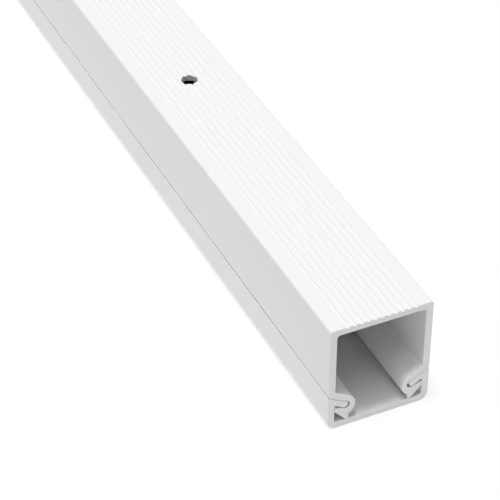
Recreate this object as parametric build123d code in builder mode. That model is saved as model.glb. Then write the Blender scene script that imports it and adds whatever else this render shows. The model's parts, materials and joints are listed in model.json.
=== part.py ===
from build123d import *
import os
from math import acos, atan2, cos, hypot, pi, radians, sin, tan

# A surface cord raceway in two extrusions: a grooved channel with curled hooks, and the cover
# that snaps into them. X runs along the length, Y across and Z up. The cover's flat face lies
# on the ground at Z = 0 and the channel's grooved mounting face is on top. All sizes in mm.

# Overall sizes
length = 1000.0
channel_width = 30.2
raceway_height = 34.0

# Channel walls
channel_wall = 2.0
back_thickness = 2.0
back_corner_radius = 0.85
inner_corner_radius = 1.0
wall_edge_radius = 0.95

# Grooves on the mounting face
groove_pitch = 2.0
groove_margin = 5.0
groove_width = 1.0
groove_floor_width = 0.3
groove_depth = 0.4

# Screw holes along the centre line
hole_diameter = 5.0
hole_spacing = 250.0

# Sloping seam between channel and cover, with a small step inside the wall. The play is less
# where the lip and the foot bear on the cover.
seam_height = 11.3
seam_slope = 28.0
seam_step = 0.17
fit_gap = 0.12
contact_gap = 0.06

# Cover
cover_overhang = 0.05
cover_wall = 1.95
cover_thickness = 2.0
cover_corner_radius = 2.6
cover_inner_radius = 0.7
seam_notch_radius = 0.4
tongue_thickness = 1.75
tongue_reach = 6.2
tongue_root_radius = 0.3
nose_radius = 0.98

# Hook of the channel, which curls round the tongue
flange_thickness = 2.0
pocket_radius = 1.1
pocket_slack = 0.6
curl_radius = 3.6
curl_shift = 0.93
curl_drop = 0.15
lip_slope = 17.5
lip_tip_height = 1.35
lip_edge_radius = 0.15
lip_run = 3.33

# Foot under the hook, which stops it just above the cover's floor
foot_width = 0.77
foot_edge_radius = 0.1
heel_offset = 0.03
heel_angle = 27.4
heel_radius = 0.25

half_width = channel_width / 2
cover_half = half_width + cover_overhang
channel_inside = half_width - channel_wall
cover_inside = cover_half - cover_wall
back_inside = raceway_height - back_thickness
slope = radians(seam_slope)
section_plane = Plane.YZ.offset(-length / 2)


def seam_point(run, rise):
    """A point run mm down the seam from the channel's outer face, and rise mm square to it."""
    across = half_width - run * cos(slope) - rise * sin(slope)
    return across, seam_height - run * sin(slope) + rise * cos(slope)


def seam_level(across, rise):
    """The height of the line that lies rise mm square above the seam, at this distance across."""
    return seam_height - (half_width - across) * tan(slope) + rise / cos(slope)


def polar(centre, radius, angle):
    """The point of a circle at this angle in radians, measured from the outward direction."""
    return centre[0] + radius * cos(angle), centre[1] + radius * sin(angle)


def touch_angle(start, centre, radius, side):
    """Where a line from start touches the circle, as an angle. Side 1 or -1 picks the tangent."""
    across, rise = start[0] - centre[0], start[1] - centre[1]
    return atan2(rise, across) + side * acos(radius / hypot(across, rise))


# Both faces of the seam, outside the step and inside it, as distances square to the seam
channel_face = fit_gap / 2
cover_face = -fit_gap / 2
channel_inner_face = channel_face - seam_step
cover_inner_face = cover_face - seam_step
cover_step = channel_inside + fit_gap

# The tongue's round nose, and the pocket that it sits in
seam_normal = pi / 2 + slope
seam_inward = pi + slope
nose_centre = seam_point(tongue_reach, cover_inner_face - nose_radius)
pocket_centre = seam_point(tongue_reach + pocket_slack, channel_inner_face - pocket_radius)
tongue_root = (cover_inside, seam_level(cover_inside, cover_inner_face - tongue_thickness))
nose_touch = touch_angle(tongue_root, nose_centre, nose_radius, -1)

# The curl's outer arc, and the flange that runs into it from the wall
curl_centre = (pocket_centre[0] + curl_shift, pocket_centre[1] - curl_drop)
flange_root = (channel_inside, seam_level(channel_inside, channel_inner_face + flange_thickness))
flange_touch = touch_angle(flange_root, curl_centre, curl_radius, 1)

# The lip leaves the pocket on a tangent and stops short of the cover's wall
lip_angle = radians(lip_slope)
lip_start = polar(pocket_centre, pocket_radius, lip_angle - pi / 2)
lip_end = cover_inside - contact_gap
lip_top = lip_start[1] + (lip_end - lip_start[0]) * tan(lip_angle)

# The foot stands just clear of the cover's floor, and its heel runs into the curl on a tangent
foot_end = lip_end - lip_run
foot_level = cover_thickness + contact_gap
heel = polar(curl_centre, curl_radius + heel_offset, -pi / 2 - radians(heel_angle))
heel_touch = touch_angle(heel, curl_centre, curl_radius, -1)

groove_count = 2 * int((half_width - groove_margin) / groove_pitch) + 1
hole_count = int(length / hole_spacing)


with BuildPart() as base_channel:
    with BuildSketch(section_plane) as channel_section:
        with BuildLine():
            FilletPolyline(
                (0, raceway_height),
                (half_width, raceway_height),
                (half_width, seam_level(half_width, channel_face)),
                (channel_inside, seam_level(channel_inside, channel_face)),
                (channel_inside, seam_level(channel_inside, channel_inner_face)),
                polar(pocket_centre, pocket_radius, seam_normal),
                radius=[back_corner_radius, wall_edge_radius, 0, 0],
            )
            ThreePointArc(
                polar(pocket_centre, pocket_radius, seam_normal),
                polar(pocket_centre, pocket_radius, seam_inward),
                lip_start,
            )
            FilletPolyline(
                lip_start,
                (lip_end, lip_top),
                (lip_end, lip_top - lip_tip_height),
                (foot_end, foot_level),
                (foot_end - foot_width, foot_level),
                heel,
                polar(curl_centre, curl_radius, heel_touch),
                radius=[
                    lip_edge_radius,
                    lip_edge_radius,
                    foot_edge_radius,
                    foot_edge_radius,
                    heel_radius,
                ],
            )
            ThreePointArc(
                polar(curl_centre, curl_radius, heel_touch),
                polar(curl_centre, curl_radius, pi),
                polar(curl_centre, curl_radius, flange_touch),
            )
            FilletPolyline(
                polar(curl_centre, curl_radius, flange_touch),
                flange_root,
                (channel_inside, back_inside),
                (0, back_inside),
                radius=[inner_corner_radius, inner_corner_radius],
            )
            Line((0, back_inside), (0, raceway_height))
        make_face()
        mirror(about=Plane.YZ)
        with GridLocations(groove_pitch, groove_pitch, groove_count, 1):
            Polygon(
                (-groove_width / 2, raceway_height),
                (-groove_floor_width / 2, raceway_height - groove_depth),
                (groove_floor_width / 2, raceway_height - groove_depth),
                (groove_width / 2, raceway_height),
                align=None,
                mode=Mode.SUBTRACT,
            )
    extrude(amount=length)
    with Locations(Plane.XY.offset(raceway_height)):
        with GridLocations(hole_spacing, hole_spacing, hole_count, 1):
            Hole(hole_diameter / 2, depth=back_thickness)

base_channel.part.label = "base_channel"


with BuildPart() as snap_cover:
    with BuildSketch(section_plane) as cover_section:
        with BuildLine():
            FilletPolyline(
                (0, 0),
                (cover_half, 0),
                (cover_half, seam_level(cover_half, cover_face)),
                (cover_step, seam_level(cover_step, cover_face)),
                (cover_step, seam_level(cover_step, cover_inner_face)),
                polar(nose_centre, nose_radius, seam_normal),
                radius=[cover_corner_radius, seam_notch_radius, 0, 0],
            )
            ThreePointArc(
                polar(nose_centre, nose_radius, seam_normal),
                polar(nose_centre, nose_radius, seam_inward),
                polar(nose_centre, nose_radius, nose_touch),
            )
            FilletPolyline(
                polar(nose_centre, nose_radius, nose_touch),
                tongue_root,
                (cover_inside, cover_thickness),
                (0, cover_thickness),
                radius=[tongue_root_radius, cover_inner_radius],
            )
            Line((0, cover_thickness), (0, 0))
        make_face()
        mirror(about=Plane.YZ)
    extrude(amount=length)

snap_cover.part.label = "snap_cover"


os.makedirs("parts", exist_ok=True)
export_step(base_channel.part, "parts/base_channel.step")
export_step(snap_cover.part, "parts/snap_cover.step")
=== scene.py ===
"""A white cord raceway: a grooved channel with curled hooks, and the cover that they grip.

X runs along the length, Y across and Z up, in metres. The cover's flat face lies on the floor.
"""
import json
from math import acos, atan2, ceil, cos, hypot, pi, radians, sin, tan

import bmesh
import bpy
from bpy.props import FloatProperty, FloatVectorProperty, IntProperty, PointerProperty
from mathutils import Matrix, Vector


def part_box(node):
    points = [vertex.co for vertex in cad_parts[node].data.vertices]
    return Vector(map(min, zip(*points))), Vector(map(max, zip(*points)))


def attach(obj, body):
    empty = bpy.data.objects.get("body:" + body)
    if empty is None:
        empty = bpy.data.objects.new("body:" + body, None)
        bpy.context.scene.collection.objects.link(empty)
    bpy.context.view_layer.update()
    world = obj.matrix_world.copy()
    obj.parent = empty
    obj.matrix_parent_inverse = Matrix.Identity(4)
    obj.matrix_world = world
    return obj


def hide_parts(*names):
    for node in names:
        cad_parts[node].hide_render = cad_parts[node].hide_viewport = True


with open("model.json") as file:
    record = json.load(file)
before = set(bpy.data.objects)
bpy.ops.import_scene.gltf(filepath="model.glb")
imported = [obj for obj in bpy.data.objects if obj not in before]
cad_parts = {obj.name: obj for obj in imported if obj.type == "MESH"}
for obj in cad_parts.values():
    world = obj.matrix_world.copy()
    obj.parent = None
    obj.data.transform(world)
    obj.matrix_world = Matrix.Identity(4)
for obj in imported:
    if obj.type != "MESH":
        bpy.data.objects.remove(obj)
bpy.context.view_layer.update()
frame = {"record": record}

bl_info = {
    "name": "Cord Cover Raceway",
    "version": (1, 0, 0),
    "blender": (4, 5, 0),
    "location": "View3D > Sidebar > Raceway",
    "description": "Builds a cord raceway from its channel and its cover, with a plain studio",
    "category": "Add Mesh",
}

MM = 0.001

# Points of an outline that lie nearer to each other than this are one point
SAME_POINT = 0.001 * MM

# Material slots of each extrusion
SKIN, CUTS = 0, 1

# How strongly a large face holds the shading of its edges flat, where 100 is the most
FACE_AREA_WEIGHT = 100

SENSOR_WIDTH = 36.0
WHITE = (1.0, 1.0, 1.0, 1.0)

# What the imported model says
channel_low, channel_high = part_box("base_channel")
cover_low, cover_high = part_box("snap_cover")
mounts = {mount["name"]: mount for mount in frame["record"]["mounts"]}
hole_row = mounts["screw_holes_inner"]["dims"]
slot_colours = {each["slot"]: each["base_color"] for each in frame["record"]["materials"]}


def length_property(name, default, description):
    """A length in metres that the panel shows with its unit."""
    return FloatProperty(
        name=name,
        default=default,
        description=description,
        min=0.0,
        precision=5,
        subtype="DISTANCE",
        unit="LENGTH",
    )


def angle_property(name, degrees_default, description):
    """An angle that the panel shows in degrees."""
    return FloatProperty(
        name=name,
        default=radians(degrees_default),
        description=description,
        subtype="ANGLE",
        unit="ROTATION",
    )


def share_property(name, default, description):
    """A share from 0 to 1, such as a roughness, that the panel shows as a slider."""
    return FloatProperty(
        name=name,
        default=default,
        description=description,
        min=0.0,
        max=1.0,
        precision=3,
        subtype="FACTOR",
    )


def number_property(name, default, description):
    """A plain number, such as a lamp's strength."""
    return FloatProperty(name=name, default=default, description=description, min=0.0)


def colour_property(name, default, description):
    """A linear colour."""
    return FloatVectorProperty(
        name=name,
        default=default,
        description=description,
        size=3,
        min=0.0,
        max=1.0,
        subtype="COLOR",
    )


class ChannelSizes(bpy.types.PropertyGroup):
    """The channel's walls, grooves and screw holes."""

    length: length_property("Length", channel_high.x - channel_low.x, "Length of both extrusions")
    width: length_property("Width", channel_high.y - channel_low.y, "Outside width of the channel")
    height: length_property("Height", channel_high.z, "Height of the raceway, cover included")
    wall: length_property("Wall", 2.0 * MM, "Thickness of the side walls")
    back: length_property("Back", 2.0 * MM, "Thickness of the grooved back")
    back_corner: length_property("Back corner", 0.85 * MM, "Outer radius between back and wall")
    inner_corner: length_property("Inner corner", 1.0 * MM, "Radius of the inside corners")
    wall_edge: length_property("Wall edge", 0.95 * MM, "Radius of the wall's edge at the seam")
    groove_pitch: length_property("Groove pitch", 2.0 * MM, "From one groove to the next")
    groove_margin: length_property("Groove margin", 5.0 * MM, "Least plain strip beside a wall")
    groove_width: length_property("Groove width", 1.0 * MM, "Width of a groove at its mouth")
    groove_floor: length_property("Groove floor", 0.3 * MM, "Width of a groove at its floor")
    groove_depth: length_property("Groove depth", 0.4 * MM, "Depth of a groove")
    hole_radius: length_property(
        "Hole radius", hole_row["hole_r_mm"] * MM, "Radius of a screw hole"
    )
    hole_spacing: length_property(
        "Hole spacing", hole_row["spacing_x_mm"] * MM, "From one screw hole to the next"
    )
    hole_rim: length_property("Hole rim", 0.12 * MM, "Width of the broken edge of a screw hole")


class SeamSizes(bpy.types.PropertyGroup):
    """The sloping seam between channel and cover."""

    height: length_property("Height", 11.3 * MM, "Height of the seam on the outside")
    slope: angle_property("Slope", 28.0, "How steeply the seam falls towards the inside")
    step: length_property("Step", 0.17 * MM, "Step of the seam inside the wall")
    gap: length_property("Gap", 0.12 * MM, "Play between channel and cover")
    contact_gap: length_property("Contact gap", 0.06 * MM, "Play where lip and foot bear")
    notch: length_property("Notch", 0.4 * MM, "Radius of the cover's edge at the seam")


class HookSizes(bpy.types.PropertyGroup):
    """The hook of the channel, which curls round the cover's tongue."""

    flange: length_property("Flange", 2.0 * MM, "Thickness of the flange above the tongue")
    pocket: length_property("Pocket", 1.1 * MM, "Radius of the pocket round the tongue's nose")
    slack: length_property("Slack", 0.6 * MM, "Free depth of the pocket behind the nose")
    curl: length_property("Curl", 3.6 * MM, "Outer radius of the curl")
    curl_shift: length_property("Curl shift", 0.93 * MM, "Curl's centre, outwards of the pocket's")
    curl_drop: length_property("Curl drop", 0.15 * MM, "Curl's centre, below the pocket's")
    lip_slope: angle_property("Lip slope", 17.5, "Slope of the lip under the tongue")
    lip_tip: length_property("Lip tip", 1.35 * MM, "Height of the lip's tip")
    lip_edge: length_property("Lip edge", 0.15 * MM, "Radius of the lip's edges")
    lip_run: length_property("Lip run", 3.33 * MM, "From the lip's tip inwards to the foot")
    foot: length_property("Foot", 0.77 * MM, "Width of the foot that stops the hook on the cover")
    foot_edge: length_property("Foot edge", 0.1 * MM, "Radius of the foot's edges")
    heel_offset: length_property("Heel offset", 0.03 * MM, "How far the heel stands off the curl")
    heel_angle: angle_property("Heel angle", 27.4, "Place of the heel round the curl")
    heel: length_property("Heel", 0.25 * MM, "Radius of the heel")


class CoverSizes(bpy.types.PropertyGroup):
    """The shallow cover and its tongues."""

    width: length_property("Width", cover_high.y - cover_low.y, "Outside width of the cover")
    wall: length_property("Wall", 1.95 * MM, "Thickness of the cover's side walls")
    floor: length_property("Floor", 2.0 * MM, "Thickness of the cover's flat face")
    corner: length_property("Corner", 2.6 * MM, "Outer radius of the cover's long edges")
    inner_corner: length_property("Inner corner", 0.7 * MM, "Radius of the inside corners")
    tongue: length_property("Tongue", 1.75 * MM, "Thickness of a tongue at its root")
    nose: length_property("Nose", 0.98 * MM, "Radius of a tongue's round nose")
    tongue_reach: length_property(
        "Tongue reach", 6.2 * MM, "From the channel's outer face to the nose's centre, down the seam"
    )
    tongue_root: length_property("Tongue root", 0.3 * MM, "Radius under the tongue at the wall")


class MeshSizes(bpy.types.PropertyGroup):
    """How finely the extrusions are divided."""

    arc_step: angle_property("Arc step", 7.5, "Largest turn between two points of an arc")
    ring_spacing: length_property("Ring spacing", 25.0 * MM, "From one cross section to the next")
    saw_edge: length_property("Saw edge", 0.08 * MM, "Radius of the edges round the sawn ends")
    saw_edge_steps: IntProperty(
        name="Saw edge steps", default=4, min=1, description="Facets round a sawn edge"
    )
    hole_sides: IntProperty(
        name="Hole sides", default=72, min=12, description="Facets round a screw hole"
    )
    crease: angle_property("Crease", 27.0, "Turns sharper than this stay crisp")


class PlasticFinish(bpy.types.PropertyGroup):
    """The white plastic as it leaves the die, and where it was cut."""

    channel_colour: colour_property(
        "Channel colour", slot_colours["white_channel"], "Colour of the channel's plastic"
    )
    cover_colour: colour_property(
        "Cover colour", slot_colours["white_cover"], "Colour of the cover's plastic"
    )
    streak_depth: share_property(
        "Streak depth", 0.012, "How much darker or lighter than the plastic a die streak can be"
    )
    skin_roughness: share_property("Skin roughness", 0.46, "Roughness of the extruded faces")
    skin_variation: share_property(
        "Skin variation", 0.09, "How far the die streaks change the skin's roughness"
    )
    cut_roughness: share_property("Cut roughness", 0.62, "Roughness of sawn and drilled faces")
    cut_variation: share_property(
        "Cut variation", 0.15, "How far the tool marks change the cuts' roughness"
    )
    die_line_relief: length_property("Die line relief", 0.045 * MM, "Height of the fine die lines")
    wave_relief: length_property("Wave relief", 0.25 * MM, "Height of the slow waves in the walls")
    saw_mark_relief: length_property("Saw mark relief", 0.1 * MM, "Height of the saw marks")
    saw_mark_spacing: length_property("Saw mark spacing", 0.4 * MM, "From one saw mark to the next")
    refraction: number_property("Refraction", 1.53, "Index of refraction of rigid PVC")


class StudioSettings(bpy.types.PropertyGroup):
    """The camera, the lamps and the floor."""

    aim: FloatVectorProperty(
        name="Aim",
        default=(0.46003, -0.01921, 0.034),
        description="The point that the camera looks at",
        size=3,
        subtype="XYZ",
        unit="LENGTH",
    )
    azimuth: angle_property("Azimuth", 65.0, "Where the camera stands, turned from -Y towards +X")
    elevation: angle_property("Elevation", 37.7, "How far the camera looks down")
    distance: length_property("Distance", 510.1 * MM, "From the camera to its aim")
    lens: FloatProperty(
        name="Lens",
        default=136.2,
        description="Focal length, for a sensor that is 36 mm wide",
        min=1.0,
        subtype="DISTANCE_CAMERA",
        unit="CAMERA",
    )
    sky: share_property("Sky", 0.233, "Strength of the even light from all round, of plain white")
    key: number_property("Key lamp", 2.12, "Strength of the lamp overhead")
    key_lean: angle_property("Key lean", 7.0, "How far the key lamp stands off the vertical")
    key_azimuth: angle_property("Key azimuth", -5.0, "Which side the key lamp leans to")
    key_spread: angle_property("Key spread", 14.0, "How broad the key lamp is, seen from here")
    fill: number_property("Fill lamp", 0.6, "Strength of the broad lamp on the camera's side")
    fill_lean: angle_property("Fill lean", 18.0, "How far the fill lamp stands off the vertical")
    fill_azimuth: angle_property("Fill azimuth", 60.0, "Which side the fill lamp leans to")
    fill_spread: angle_property("Fill spread", 30.0, "How broad the fill lamp is, seen from here")
    floor_colour: colour_property(
        "Floor colour", (0.96, 0.96, 0.96), "Colour of the floor in the light that it gives back"
    )
    floor_seen: colour_property("Floor seen", (0.96, 0.96, 0.96), "Colour that the camera sees")
    floor_glow: share_property("Floor glow", 0.8, "Share of plain white in what the camera sees")
    floor_size: length_property("Floor size", 40.0, "Width of the square floor")
    floor_drop: length_property("Floor drop", 0.02 * MM, "Play between the cover and the floor")


class RacewaySettings(bpy.types.PropertyGroup):
    """Every size, finish and studio setting of the raceway."""

    channel: PointerProperty(type=ChannelSizes, name="Channel")
    seam: PointerProperty(type=SeamSizes, name="Seam")
    hook: PointerProperty(type=HookSizes, name="Hook")
    cover: PointerProperty(type=CoverSizes, name="Cover")
    mesh: PointerProperty(type=MeshSizes, name="Mesh")
    finish: PointerProperty(type=PlasticFinish, name="Finish")
    studio: PointerProperty(type=StudioSettings, name="Studio")


def polar(centre, radius, angle):
    """The point of a circle at this angle."""
    return centre[0] + radius * cos(angle), centre[1] + radius * sin(angle)


def arc(centre, radius, start, end, step):
    """Points along a circle from one angle to another, both ends included."""
    count = max(2, ceil(abs(end - start) / step))
    return [polar(centre, radius, start + (end - start) * n / count) for n in range(count + 1)]


def rounded_line(points, radii, step):
    """A line through the points, with an arc of the given radius at each inner corner."""
    line = [points[0]]
    for before, corner, after, radius in zip(points, points[1:], points[2:], radii):
        if radius == 0:
            line.append(corner)
            continue
        to_before = (Vector(before) - Vector(corner)).normalized()
        to_after = (Vector(after) - Vector(corner)).normalized()
        half_angle = acos(max(-1.0, min(1.0, to_before.dot(to_after)))) / 2
        middle = (to_before + to_after).normalized()
        centre = Vector(corner) + middle * (radius / sin(half_angle))
        begin = Vector(corner) + to_before * (radius / tan(half_angle)) - centre
        finish = Vector(corner) + to_after * (radius / tan(half_angle)) - centre
        start = atan2(begin.y, begin.x)
        turn = atan2(begin.x * finish.y - begin.y * finish.x, begin.dot(finish))
        line += arc(tuple(centre), radius, start, start + turn, step)
    return line + [points[-1]]


def touch_angle(start, centre, radius, side):
    """Where a line from start touches the circle. Side 1 or -1 picks which of the two tangents."""
    across, rise = start[0] - centre[0], start[1] - centre[1]
    return atan2(rise, across) + side * acos(radius / hypot(across, rise))


class Section:
    """The cross section's half outlines, from the back's middle down to the cover's."""

    def __init__(self, sizes):
        self.channel = sizes.channel
        self.seam = sizes.seam
        self.hook = sizes.hook
        self.cover = sizes.cover
        self.step = sizes.mesh.arc_step
        self.half = self.channel.width / 2
        self.inside = self.half - self.channel.wall
        self.cover_half = self.cover.width / 2
        self.cover_inside = self.cover_half - self.cover.wall
        self.channel_face = self.seam.gap / 2
        self.cover_face = -self.seam.gap / 2
        self.channel_inner_face = self.channel_face - self.seam.step
        self.cover_inner_face = self.cover_face - self.seam.step
        self.normal = pi / 2 + self.seam.slope
        self.inward = pi + self.seam.slope

    def seam_point(self, run, rise):
        """A point this far down the seam from the channel's outer face, and rise square to it."""
        slope = self.seam.slope
        across = self.half - run * cos(slope) - rise * sin(slope)
        return across, self.seam.height - run * sin(slope) + rise * cos(slope)

    def seam_level(self, across, rise):
        """The height of the line that lies rise square above the seam, at this distance across."""
        slope = self.seam.slope
        return self.seam.height - (self.half - across) * tan(slope) + rise / cos(slope)

    def grooves(self):
        """The grooved face from the middle outwards, where a groove lies on the centre line."""
        sizes = self.channel
        top = sizes.height
        floor = top - sizes.groove_depth
        line = [(sizes.groove_floor / 2, floor), (sizes.groove_width / 2, top)]
        for n in range(1, int((self.half - sizes.groove_margin) / sizes.groove_pitch) + 1):
            middle = n * sizes.groove_pitch
            line += [
                (middle - sizes.groove_width / 2, top),
                (middle - sizes.groove_floor / 2, floor),
                (middle + sizes.groove_floor / 2, floor),
                (middle + sizes.groove_width / 2, top),
            ]
        return line

    def channel_half(self):
        """The channel's outline on the +Y side, from the grooved face round the hook to inside."""
        sizes, hook = self.channel, self.hook
        inner_face = self.channel_inner_face
        pocket = self.seam_point(
            self.cover.tongue_reach + hook.slack, inner_face - hook.pocket
        )
        curl = (pocket[0] + hook.curl_shift, pocket[1] - hook.curl_drop)
        flange_root = (self.inside, self.seam_level(self.inside, inner_face + hook.flange))
        flange_touch = touch_angle(flange_root, curl, hook.curl, 1)
        lip_start = polar(pocket, hook.pocket, hook.lip_slope - pi / 2)
        lip_end = self.cover_inside - self.seam.contact_gap
        lip_top = lip_start[1] + (lip_end - lip_start[0]) * tan(hook.lip_slope)
        foot_end = lip_end - hook.lip_run
        foot_level = self.cover.floor + self.seam.contact_gap
        heel = polar(curl, hook.curl + hook.heel_offset, -pi / 2 - hook.heel_angle)
        heel_touch = touch_angle(heel, curl, hook.curl, -1)
        outside = rounded_line(
            [
                (0, sizes.height),
                (self.half, sizes.height),
                (self.half, self.seam_level(self.half, self.channel_face)),
                (self.inside, self.seam_level(self.inside, self.channel_face)),
                (self.inside, self.seam_level(self.inside, inner_face)),
                polar(pocket, hook.pocket, self.normal),
            ],
            [sizes.back_corner, sizes.wall_edge, 0, 0],
            self.step,
        )
        socket = arc(pocket, hook.pocket, self.normal, hook.lip_slope + 3 * pi / 2, self.step)
        lip_and_foot = rounded_line(
            [
                lip_start,
                (lip_end, lip_top),
                (lip_end, lip_top - hook.lip_tip),
                (foot_end, foot_level),
                (foot_end - hook.foot, foot_level),
                heel,
                polar(curl, hook.curl, heel_touch),
            ],
            [hook.lip_edge, hook.lip_edge, hook.foot_edge, hook.foot_edge, hook.heel],
            self.step,
        )
        back_of_curl = arc(curl, hook.curl, heel_touch, flange_touch - 2 * pi, self.step)
        inside = rounded_line(
            [
                polar(curl, hook.curl, flange_touch),
                flange_root,
                (self.inside, sizes.height - sizes.back),
                (0, sizes.height - sizes.back),
            ],
            [sizes.inner_corner, sizes.inner_corner],
            self.step,
        )
        return join_lines(
            self.grooves(), outside[1:], socket, lip_and_foot, back_of_curl, inside[:-1]
        )

    def cover_outline_half(self):
        """The cover's outline on the +Y side, from its flat face round the tongue to inside."""
        cover = self.cover
        inner_face = self.cover_inner_face
        step_at = self.inside + self.seam.gap
        nose = self.seam_point(cover.tongue_reach, inner_face - cover.nose)
        root = (self.cover_inside, self.seam_level(self.cover_inside, inner_face - cover.tongue))
        nose_touch = touch_angle(root, nose, cover.nose, -1) + 2 * pi
        outside = rounded_line(
            [
                (0, 0),
                (self.cover_half, 0),
                (self.cover_half, self.seam_level(self.cover_half, self.cover_face)),
                (step_at, self.seam_level(step_at, self.cover_face)),
                (step_at, self.seam_level(step_at, inner_face)),
                polar(nose, cover.nose, self.normal),
            ],
            [cover.corner, self.seam.notch, 0, 0],
            self.step,
        )
        round_nose = arc(nose, cover.nose, self.normal, nose_touch, self.step)
        inside = rounded_line(
            [
                polar(nose, cover.nose, nose_touch),
                root,
                (self.cover_inside, cover.floor),
                (0, cover.floor),
            ],
            [cover.tongue_root, cover.inner_corner],
            self.step,
        )
        return join_lines(outside[1:], round_nose, inside[:-1])


def join_lines(*lines):
    """One line out of several, without the points that two of them share."""
    joined = []
    for point in (point for line in lines for point in line):
        if not joined or hypot(point[0] - joined[-1][0], point[1] - joined[-1][1]) > SAME_POINT:
            joined.append(point)
    return joined


def both_sides(half):
    """The closed outline of a half outline and its mirror image, anticlockwise seen from +X."""
    outline = half + [(-across, rise) for across, rise in reversed(half)]
    return outline if signed_area(outline) > 0 else outline[::-1]


def shrunk(outline, inset):
    """The outline moved into the material by this distance, point by point."""
    moved = []
    for n, (across, rise) in enumerate(outline):
        before = Vector(outline[n - 1])
        after = Vector(outline[(n + 1) % len(outline)])
        here = Vector((across, rise))
        arriving = (here - before).normalized()
        leaving = (after - here).normalized()
        inward = Vector((-arriving.y, arriving.x)) + Vector((-leaving.y, leaving.x))
        reach = 1 + arriving.dot(leaving)
        moved.append(tuple(here + inward * (inset / reach)))
    return moved


def signed_area(outline):
    """Twice the area inside a closed outline, above zero where it runs anticlockwise."""
    return sum(
        outline[n - 1][0] * outline[n][1] - outline[n][0] * outline[n - 1][1]
        for n in range(len(outline))
    )


def stations(length, sizes):
    """(place along X, inset of the outline) of each cross section, from end to end."""
    edge, steps = sizes.saw_edge, sizes.saw_edge_steps
    turns = [pi / 2 * n / steps for n in range(steps + 1)]
    near_end = [(edge * (1 - cos(turn)), edge * (1 - sin(turn))) for turn in turns]
    spans = ceil((length - 2 * edge) / sizes.ring_spacing)
    between = [(edge + (length - 2 * edge) * n / spans, 0.0) for n in range(1, spans)]
    far_end = [(length - place, inset) for place, inset in reversed(near_end)]
    return [(place - length / 2, inset) for place, inset in near_end + between + far_end]


def extruded_mesh(name, outline, length, sizes):
    """A closed extrusion along X, whose sawn ends have softened edges and the slot of the cuts."""
    made = bmesh.new()
    rings, insets = [], []
    for place, inset in stations(length, sizes):
        ring = shrunk(outline, inset)
        rings.append([made.verts.new((place, across, rise)) for across, rise in ring])
        insets.append(inset)
    for n, (before, after) in enumerate(zip(rings, rings[1:])):
        slot = CUTS if max(insets[n], insets[n + 1]) > 0 else SKIN
        for side in range(len(outline)):
            face = made.faces.new(
                (before[side - 1], before[side], after[side], after[side - 1])
            )
            face.material_index = slot
    for ring in (list(reversed(rings[0])), rings[-1]):
        made.faces.new(ring).material_index = CUTS
    mesh = bpy.data.meshes.new(name)
    made.to_mesh(mesh)
    made.free()
    return mesh


def drill_mesh(sizes, mesh_sizes):
    """The row of drilled holes as closed solids, each flared at the mounting face."""
    made = bmesh.new()
    clear = sizes.back / 2
    profile = [
        (sizes.hole_radius, sizes.height - sizes.back - clear),
        (sizes.hole_radius, sizes.height - sizes.hole_rim),
        (sizes.hole_radius + sizes.hole_rim, sizes.height),
        (sizes.hole_radius + sizes.hole_rim, sizes.height + clear),
    ]
    count = int(sizes.length / sizes.hole_spacing)
    sides = mesh_sizes.hole_sides
    for number in range(count):
        middle = (number - (count - 1) / 2) * sizes.hole_spacing
        rings = []
        for radius, level in profile:
            around = [polar((middle, 0.0), radius, 2 * pi * n / sides) for n in range(sides)]
            rings.append([made.verts.new((along, across, level)) for along, across in around])
        for below, above in zip(rings, rings[1:]):
            for n in range(sides):
                made.faces.new((below[n - 1], below[n], above[n], above[n - 1]))
        made.faces.new(list(reversed(rings[0])))
        made.faces.new(rings[-1])
    for face in made.faces:
        face.material_index = CUTS
    mesh = bpy.data.meshes.new("screw_hole_drills")
    made.to_mesh(mesh)
    made.free()
    return mesh


def place_object(name, mesh, materials):
    """A new object of this mesh with its materials, in the scene."""
    for material in materials:
        mesh.materials.append(material)
    made = bpy.data.objects.new(name, mesh)
    bpy.context.scene.collection.objects.link(made)
    return made


def cut_away(piece, cutter):
    """Cuts one object out of another for good, and removes the cutter."""
    cut = piece.modifiers.new("Screw holes", "BOOLEAN")
    cut.operation = "DIFFERENCE"
    cut.solver = "EXACT"
    cut.material_mode = "INDEX"
    cut.object = cutter
    graph = bpy.context.evaluated_depsgraph_get()
    before = piece.data
    piece.data = bpy.data.meshes.new_from_object(piece.evaluated_get(graph))
    piece.data.name = before.name
    piece.modifiers.clear()
    bpy.data.meshes.remove(before)
    bpy.data.objects.remove(cutter)


def finish_shading(piece, crease):
    """Smooth arcs, crisp corners and truly flat faces between them."""
    piece.data.shade_smooth()
    piece.data.set_sharp_from_angle(angle=crease)
    level = piece.modifiers.new("Flat faces", "WEIGHTED_NORMAL")
    level.keep_sharp = True
    level.weight = FACE_AREA_WEIGHT


def stand_for(piece, node, body):
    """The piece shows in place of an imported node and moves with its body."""
    if not piece.data.polygons:
        raise RuntimeError(f"{piece.name} came out empty")
    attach(piece, body)
    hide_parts(node)


# The colour sockets of a Mix node, which share their names with its number and vector sockets
MIX_FIRST_COLOUR, MIX_SECOND_COLOUR, MIX_COLOUR_OUT = 6, 7, 2

# How often each noise repeats per metre along X, Y and Z, and how many finer layers it has
FINE_STREAKS = {"repeats": (0.9, 2200.0, 2200.0), "detail": 2.0}
BROAD_STREAKS = {"repeats": (0.4, 140.0, 140.0), "detail": 1.0}
SLOW_WAVES = {"repeats": (9.0, 60.0, 60.0), "detail": 0.0}
CUT_GRAIN = {"repeats": (4000.0, 4000.0, 4000.0), "detail": 2.0}
SAW_MARK_DETAIL = 2.0
NOISE_ROUGHNESS = 0.55

# The share of the finer pattern in the die streaks, and of the saw marks in what a cut shows
FINE_STREAK_SHARE = 0.4
SAW_MARK_SHARE = 0.75

# How many times as much as the skin a cut darkens
CUT_DARKENING = 2

# Where the saw blade's middle stood as it cut, across and up from the frame's origin
BLADE_CENTRE = (0.0, -0.07, -0.11)

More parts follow.
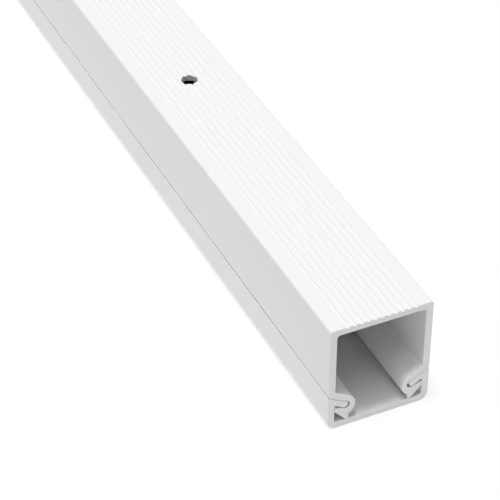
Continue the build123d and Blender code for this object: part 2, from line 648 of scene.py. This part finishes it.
# Each finish begins at its own place in the noise, so no two show the same pattern
NOISE_STARTS = {
    "channel_skin": (3.0, 11.0, 7.0),
    "channel_cuts": (5.0, 2.0, 9.0),
    "cover_skin": (13.0, 4.0, 17.0),
    "cover_cuts": (1.0, 15.0, 6.0),
}


class Wire:
    """A node's output that takes part in arithmetic. Each operation adds one Math node."""

    def __init__(self, shader, socket):
        self.shader = shader
        self.socket = socket

    def maths(self, operation, *values):
        sockets = dict(enumerate(values))
        return self.shader.node("ShaderNodeMath", {"operation": operation}, sockets)

    def __add__(self, other):
        return self.maths("ADD", self, other)

    def __radd__(self, other):
        return self.maths("ADD", other, self)

    def __sub__(self, other):
        return self.maths("SUBTRACT", self, other)

    def __rsub__(self, other):
        return self.maths("SUBTRACT", other, self)

    def __mul__(self, other):
        return self.maths("MULTIPLY", self, other)

    def __rmul__(self, other):
        return self.maths("MULTIPLY", other, self)

    def __truediv__(self, other):
        return self.maths("DIVIDE", self, other)

    def __rtruediv__(self, other):
        return self.maths("DIVIDE", other, self)


class Shader:
    """A node tree that is written as expressions."""

    def __init__(self, tree):
        self.tree = tree
        tree.nodes.clear()

    def node(self, kind, settings=None, sockets=None, output=0):
        """Adds a node, makes its settings first, feeds its sockets and gives one output."""
        made = self.tree.nodes.new(kind)
        for name, value in (settings or {}).items():
            setattr(made, name, value)
        for name, value in (sockets or {}).items():
            if isinstance(value, Wire):
                self.tree.links.new(value.socket, made.inputs[name])
            else:
                made.inputs[name].default_value = value
        return Wire(self, made.outputs[output]) if made.outputs else None

    def noise(self, place, pattern, start):
        """A pattern's noise, from 0 to 1, that begins at its own start."""
        stretched = self.node(
            "ShaderNodeVectorMath",
            {"operation": "MULTIPLY_ADD"},
            {0: place, 1: pattern["repeats"], 2: start},
        )
        return self.node(
            "ShaderNodeTexNoise",
            {"noise_dimensions": "3D"},
            {
                "Vector": stretched,
                "Scale": 1.0,
                "Detail": pattern["detail"],
                "Roughness": NOISE_ROUGHNESS,
            },
            "Fac",
        )

    def seen_rays(self):
        """1 for the rays of the camera and of reflections and clear parts, 0 for light's own."""
        rays = [
            self.node("ShaderNodeLightPath", output=f"Is {kind} Ray")
            for kind in ("Camera", "Glossy", "Transmission")
        ]
        together = sum(rays[1:], rays[0])
        return together.maths("MINIMUM", together, 1.0)

    def mixed(self, factor, first, second):
        """A colour between two colours."""
        sockets = {0: factor, MIX_FIRST_COLOUR: first, MIX_SECOND_COLOUR: second}
        return self.node("ShaderNodeMix", {"data_type": "RGBA"}, sockets, MIX_COLOUR_OUT)

    def surface(self, colour, roughness, height, relief, refraction):
        """Ends a material in one plastic surface whose bump is height times relief."""
        normal = self.node("ShaderNodeBump", {}, {"Height": height, "Distance": relief})
        plastic = self.node(
            "ShaderNodeBsdfPrincipled",
            {},
            {
                "Base Color": colour,
                "Roughness": roughness,
                "Normal": normal,
                "IOR": refraction,
            },
        )
        self.node("ShaderNodeOutputMaterial", {}, {"Surface": plastic})


def new_material(name):
    """An empty material and the shader that fills it."""
    material = bpy.data.materials.new(name)
    material.use_nodes = True
    return material, Shader(material.node_tree)


def opaque(colour, level=1.0):
    """A colour with its alpha, lighter or darker by level."""
    return (*(level * part for part in colour), 1.0)


def varied(middle, variation, pattern):
    """A value that a pattern from 0 to 1 moves to either side of middle, by variation at most."""
    return middle + (pattern - 0.5) * (2 * variation)


def extruded_skin(name, colour, finish):
    """Satin plastic as it leaves the die: fine lines and broad streaks that run along X."""
    material, shader = new_material(name)
    place = shader.node("ShaderNodeTexCoord", output="Object")
    fine, broad, waves = (
        shader.noise(place, pattern, NOISE_STARTS[name])
        for pattern in (FINE_STREAKS, BROAD_STREAKS, SLOW_WAVES)
    )
    streaks = FINE_STREAK_SHARE * fine + (1 - FINE_STREAK_SHARE) * broad
    dark = opaque(colour, 1 - finish.streak_depth)
    light = opaque(colour, 1 + finish.streak_depth)
    shade = shader.mixed(streaks, dark, light)
    roughness = varied(finish.skin_roughness, finish.skin_variation, streaks)
    height = fine + waves * (finish.wave_relief / finish.die_line_relief)
    shader.surface(shade, roughness, height, finish.die_line_relief, finish.refraction)
    return material


def cut_face(name, colour, finish):
    """Plastic where it was sawn or drilled: duller, with the arcs that a saw blade leaves."""
    material, shader = new_material(name)
    place = shader.node("ShaderNodeTexCoord", output="Object")
    in_section = shader.node(
        "ShaderNodeVectorMath", {"operation": "MULTIPLY"}, {0: place, 1: (0, 1, 1)}
    )
    from_blade = shader.node(
        "ShaderNodeVectorMath",
        {"operation": "DISTANCE"},
        {0: in_section, 1: BLADE_CENTRE},
        "Value",
    )
    marks = shader.node(
        "ShaderNodeTexNoise",
        {"noise_dimensions": "1D"},
        {"W": from_blade / finish.saw_mark_spacing, "Scale": 1.0, "Detail": SAW_MARK_DETAIL},
        "Fac",
    )
    grain = shader.noise(place, CUT_GRAIN, NOISE_STARTS[name])
    rubbed = SAW_MARK_SHARE * marks + (1 - SAW_MARK_SHARE) * grain
    dark = opaque(colour, 1 - CUT_DARKENING * finish.streak_depth)
    light = opaque(colour, 1 + finish.streak_depth)
    shade = shader.mixed(rubbed, dark, light)
    roughness = varied(finish.cut_roughness, finish.cut_variation, rubbed)
    shader.surface(shade, roughness, rubbed, finish.saw_mark_relief, finish.refraction)
    return material


def floor_finish(studio):
    """A plain matt floor, which the camera and reflections see nearly white."""
    material, shader = new_material("studio_floor")
    seen = shader.seen_rays()
    colour = shader.mixed(seen, opaque(studio.floor_colour), opaque(studio.floor_seen))
    matt = shader.node("ShaderNodeBsdfDiffuse", {}, {"Color": colour})
    white = shader.node("ShaderNodeEmission", {}, {"Color": WHITE, "Strength": 1.0})
    surface = shader.node(
        "ShaderNodeMixShader", {}, {0: seen * studio.floor_glow, 1: matt, 2: white}
    )
    shader.node("ShaderNodeOutputMaterial", {}, {"Surface": surface})
    return material


def add_floor(studio):
    """A plain square floor just under the cover's flat face."""
    made = bmesh.new()
    bmesh.ops.create_grid(made, x_segments=1, y_segments=1, size=studio.floor_size / 2)
    mesh = bpy.data.meshes.new("studio_floor")
    made.to_mesh(mesh)
    made.free()
    floor = place_object("studio_floor", mesh, [floor_finish(studio)])
    floor.location.z = -studio.floor_drop


def add_sky(studio):
    """Even light from all round, which the camera and reflections see as plain white."""
    world = bpy.data.worlds.new("studio_sky")
    world.use_nodes = True
    bpy.context.scene.world = world
    shader = Shader(world.node_tree)
    strength = studio.sky + shader.seen_rays() * (1 - studio.sky)
    light = shader.node("ShaderNodeBackground", {}, {"Color": WHITE, "Strength": strength})
    shader.node("ShaderNodeOutputWorld", {}, {"Surface": light})


def direction(azimuth, elevation):
    """From the object towards this azimuth, which turns from -Y to +X, and elevation."""
    level = cos(elevation)
    return Vector((sin(azimuth) * level, -cos(azimuth) * level, sin(elevation)))


def add_lamp(name, strength, lean, azimuth, spread):
    """A soft lamp that is far enough away to light the whole length alike."""
    lamp = bpy.data.lights.new(name, "SUN")
    lamp.energy = strength
    lamp.angle = spread
    holder = bpy.data.objects.new(name, lamp)
    towards = direction(azimuth, pi / 2 - lean)
    holder.rotation_euler = towards.to_track_quat("Z", "Y").to_euler()
    holder.location = towards
    bpy.context.scene.collection.objects.link(holder)


def add_lamps(studio):
    """The key lamp nearly overhead, and the fill lamp on the camera's side of it."""
    add_lamp("key_lamp", studio.key, studio.key_lean, studio.key_azimuth, studio.key_spread)
    add_lamp("fill_lamp", studio.fill, studio.fill_lean, studio.fill_azimuth, studio.fill_spread)


def add_camera(studio):
    """The camera at the photograph's angle."""
    lens = bpy.data.cameras.new("photo_camera")
    lens.lens = studio.lens
    lens.sensor_width = SENSOR_WIDTH
    camera = bpy.data.objects.new("photo_camera", lens)
    back = direction(studio.azimuth, studio.elevation)
    camera.location = Vector(studio.aim) + back * studio.distance
    camera.rotation_euler = back.to_track_quat("Z", "Y").to_euler()
    bpy.context.scene.collection.objects.link(camera)
    bpy.context.scene.camera = camera


class RACEWAY_OT_base_channel(bpy.types.Operator):
    """Add the grooved channel with its hooks and screw holes"""

    bl_idname = "raceway.base_channel"
    bl_label = "Grooved Channel"
    bl_options = {"REGISTER", "UNDO"}

    def execute(self, context):
        sizes = context.scene.raceway
        section = Section(sizes)
        outline = both_sides(section.channel_half())
        mesh = extruded_mesh("grooved_channel", outline, sizes.channel.length, sizes.mesh)
        drills = drill_mesh(sizes.channel, sizes.mesh)
        colour = sizes.finish.channel_colour
        skin = extruded_skin("channel_skin", colour, sizes.finish)
        cuts = cut_face("channel_cuts", colour, sizes.finish)
        channel = place_object("grooved_channel", mesh, [skin, cuts])
        cut_away(channel, place_object("screw_hole_drills", drills, [skin, cuts]))
        finish_shading(channel, sizes.mesh.crease)
        stand_for(channel, "base_channel", "channel")
        return {"FINISHED"}


class RACEWAY_OT_snap_cover(bpy.types.Operator):
    """Add the shallow cover with its two tongues"""

    bl_idname = "raceway.snap_cover"
    bl_label = "Cover"
    bl_options = {"REGISTER", "UNDO"}

    def execute(self, context):
        sizes = context.scene.raceway
        section = Section(sizes)
        outline = both_sides(section.cover_outline_half())
        mesh = extruded_mesh("clip_in_cover", outline, sizes.channel.length, sizes.mesh)
        colour = sizes.finish.cover_colour
        skin = extruded_skin("cover_skin", colour, sizes.finish)
        cuts = cut_face("cover_cuts", colour, sizes.finish)
        cover = place_object("clip_in_cover", mesh, [skin, cuts])
        finish_shading(cover, sizes.mesh.crease)
        stand_for(cover, "snap_cover", "cover")
        return {"FINISHED"}


class RACEWAY_OT_studio(bpy.types.Operator):
    """Add the floor, the light and the camera"""

    bl_idname = "raceway.studio"
    bl_label = "Studio"
    bl_options = {"REGISTER", "UNDO"}

    def execute(self, context):
        studio = context.scene.raceway.studio
        add_floor(studio)
        add_sky(studio)
        add_lamps(studio)
        add_camera(studio)
        context.scene.view_settings.view_transform = "Standard"
        return {"FINISHED"}


class RACEWAY_PT_sidebar(bpy.types.Panel):
    """The raceway's settings and the buttons that build it"""

    bl_idname = "RACEWAY_PT_sidebar"
    bl_label = "Raceway"
    bl_space_type = "VIEW_3D"
    bl_region_type = "UI"
    bl_category = "Raceway"

    def draw(self, context):
        layout = self.layout
        settings = context.scene.raceway
        for name in ("channel", "seam", "hook", "cover", "mesh", "finish", "studio"):
            group = getattr(settings, name)
            box = layout.box()
            box.label(text=name.capitalize())
            for entry in group.bl_rna.properties:
                if entry.identifier not in {"rna_type", "name"}:
                    box.prop(group, entry.identifier)
        for operator in (RACEWAY_OT_base_channel, RACEWAY_OT_snap_cover, RACEWAY_OT_studio):
            layout.operator(operator.bl_idname)


CLASSES = (
    ChannelSizes,
    SeamSizes,
    HookSizes,
    CoverSizes,
    MeshSizes,
    PlasticFinish,
    StudioSettings,
    RacewaySettings,
    RACEWAY_OT_base_channel,
    RACEWAY_OT_snap_cover,
    RACEWAY_OT_studio,
    RACEWAY_PT_sidebar,
)


def register():
    for each in CLASSES:
        bpy.utils.register_class(each)
    bpy.types.Scene.raceway = PointerProperty(type=RacewaySettings)


def unregister():
    del bpy.types.Scene.raceway
    for each in reversed(CLASSES):
        bpy.utils.unregister_class(each)


def main():
    """Builds the raceway and its studio."""
    register()
    bpy.ops.raceway.base_channel()
    bpy.ops.raceway.snap_cover()
    bpy.ops.raceway.studio()


if __name__ == "__main__":
    main()
